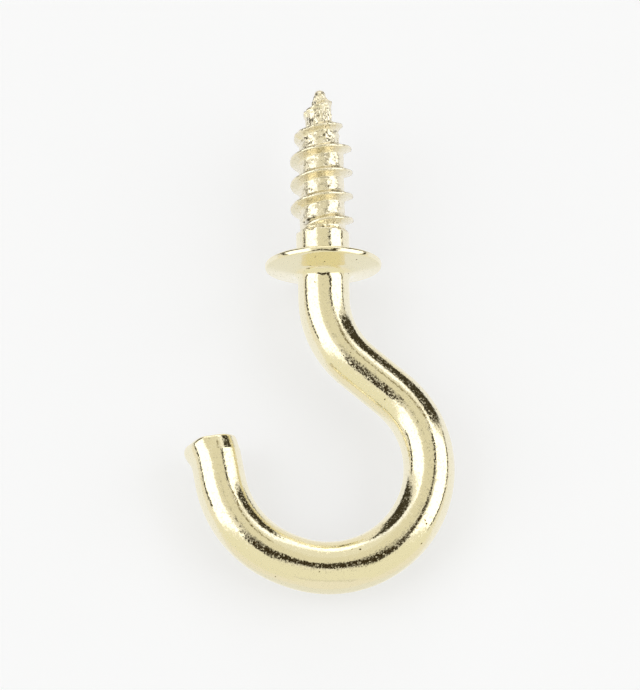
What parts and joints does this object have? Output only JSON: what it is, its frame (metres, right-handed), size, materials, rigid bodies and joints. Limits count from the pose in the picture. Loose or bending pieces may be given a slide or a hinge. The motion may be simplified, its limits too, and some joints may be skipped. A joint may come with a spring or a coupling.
{
  "type": "cup hook",
  "caption": "Shouldered cup hook: a bright brass-plated wire bent into an open ring, with a round collar and a pointed wood-screw thread, screwed into a shelf to hang cups or keys.",
  "frame": {"origin": "centre of the collar's screw-side face, where the hook seats on the wood", "axes": "+Z along the screw to its point, X in the plane of the hook with the mouth towards -X, Y across the wire"},
  "size_m": [0.0176, 0.0076, 0.034],
  "materials": {
    "brass_plate": "bright brass plate on drawn steel wire, polished, with a fine rolled grain"
  },
  "bodies": {
    "root": {"cup_hook": "brass_plate"}
  },
  "joints": []
}
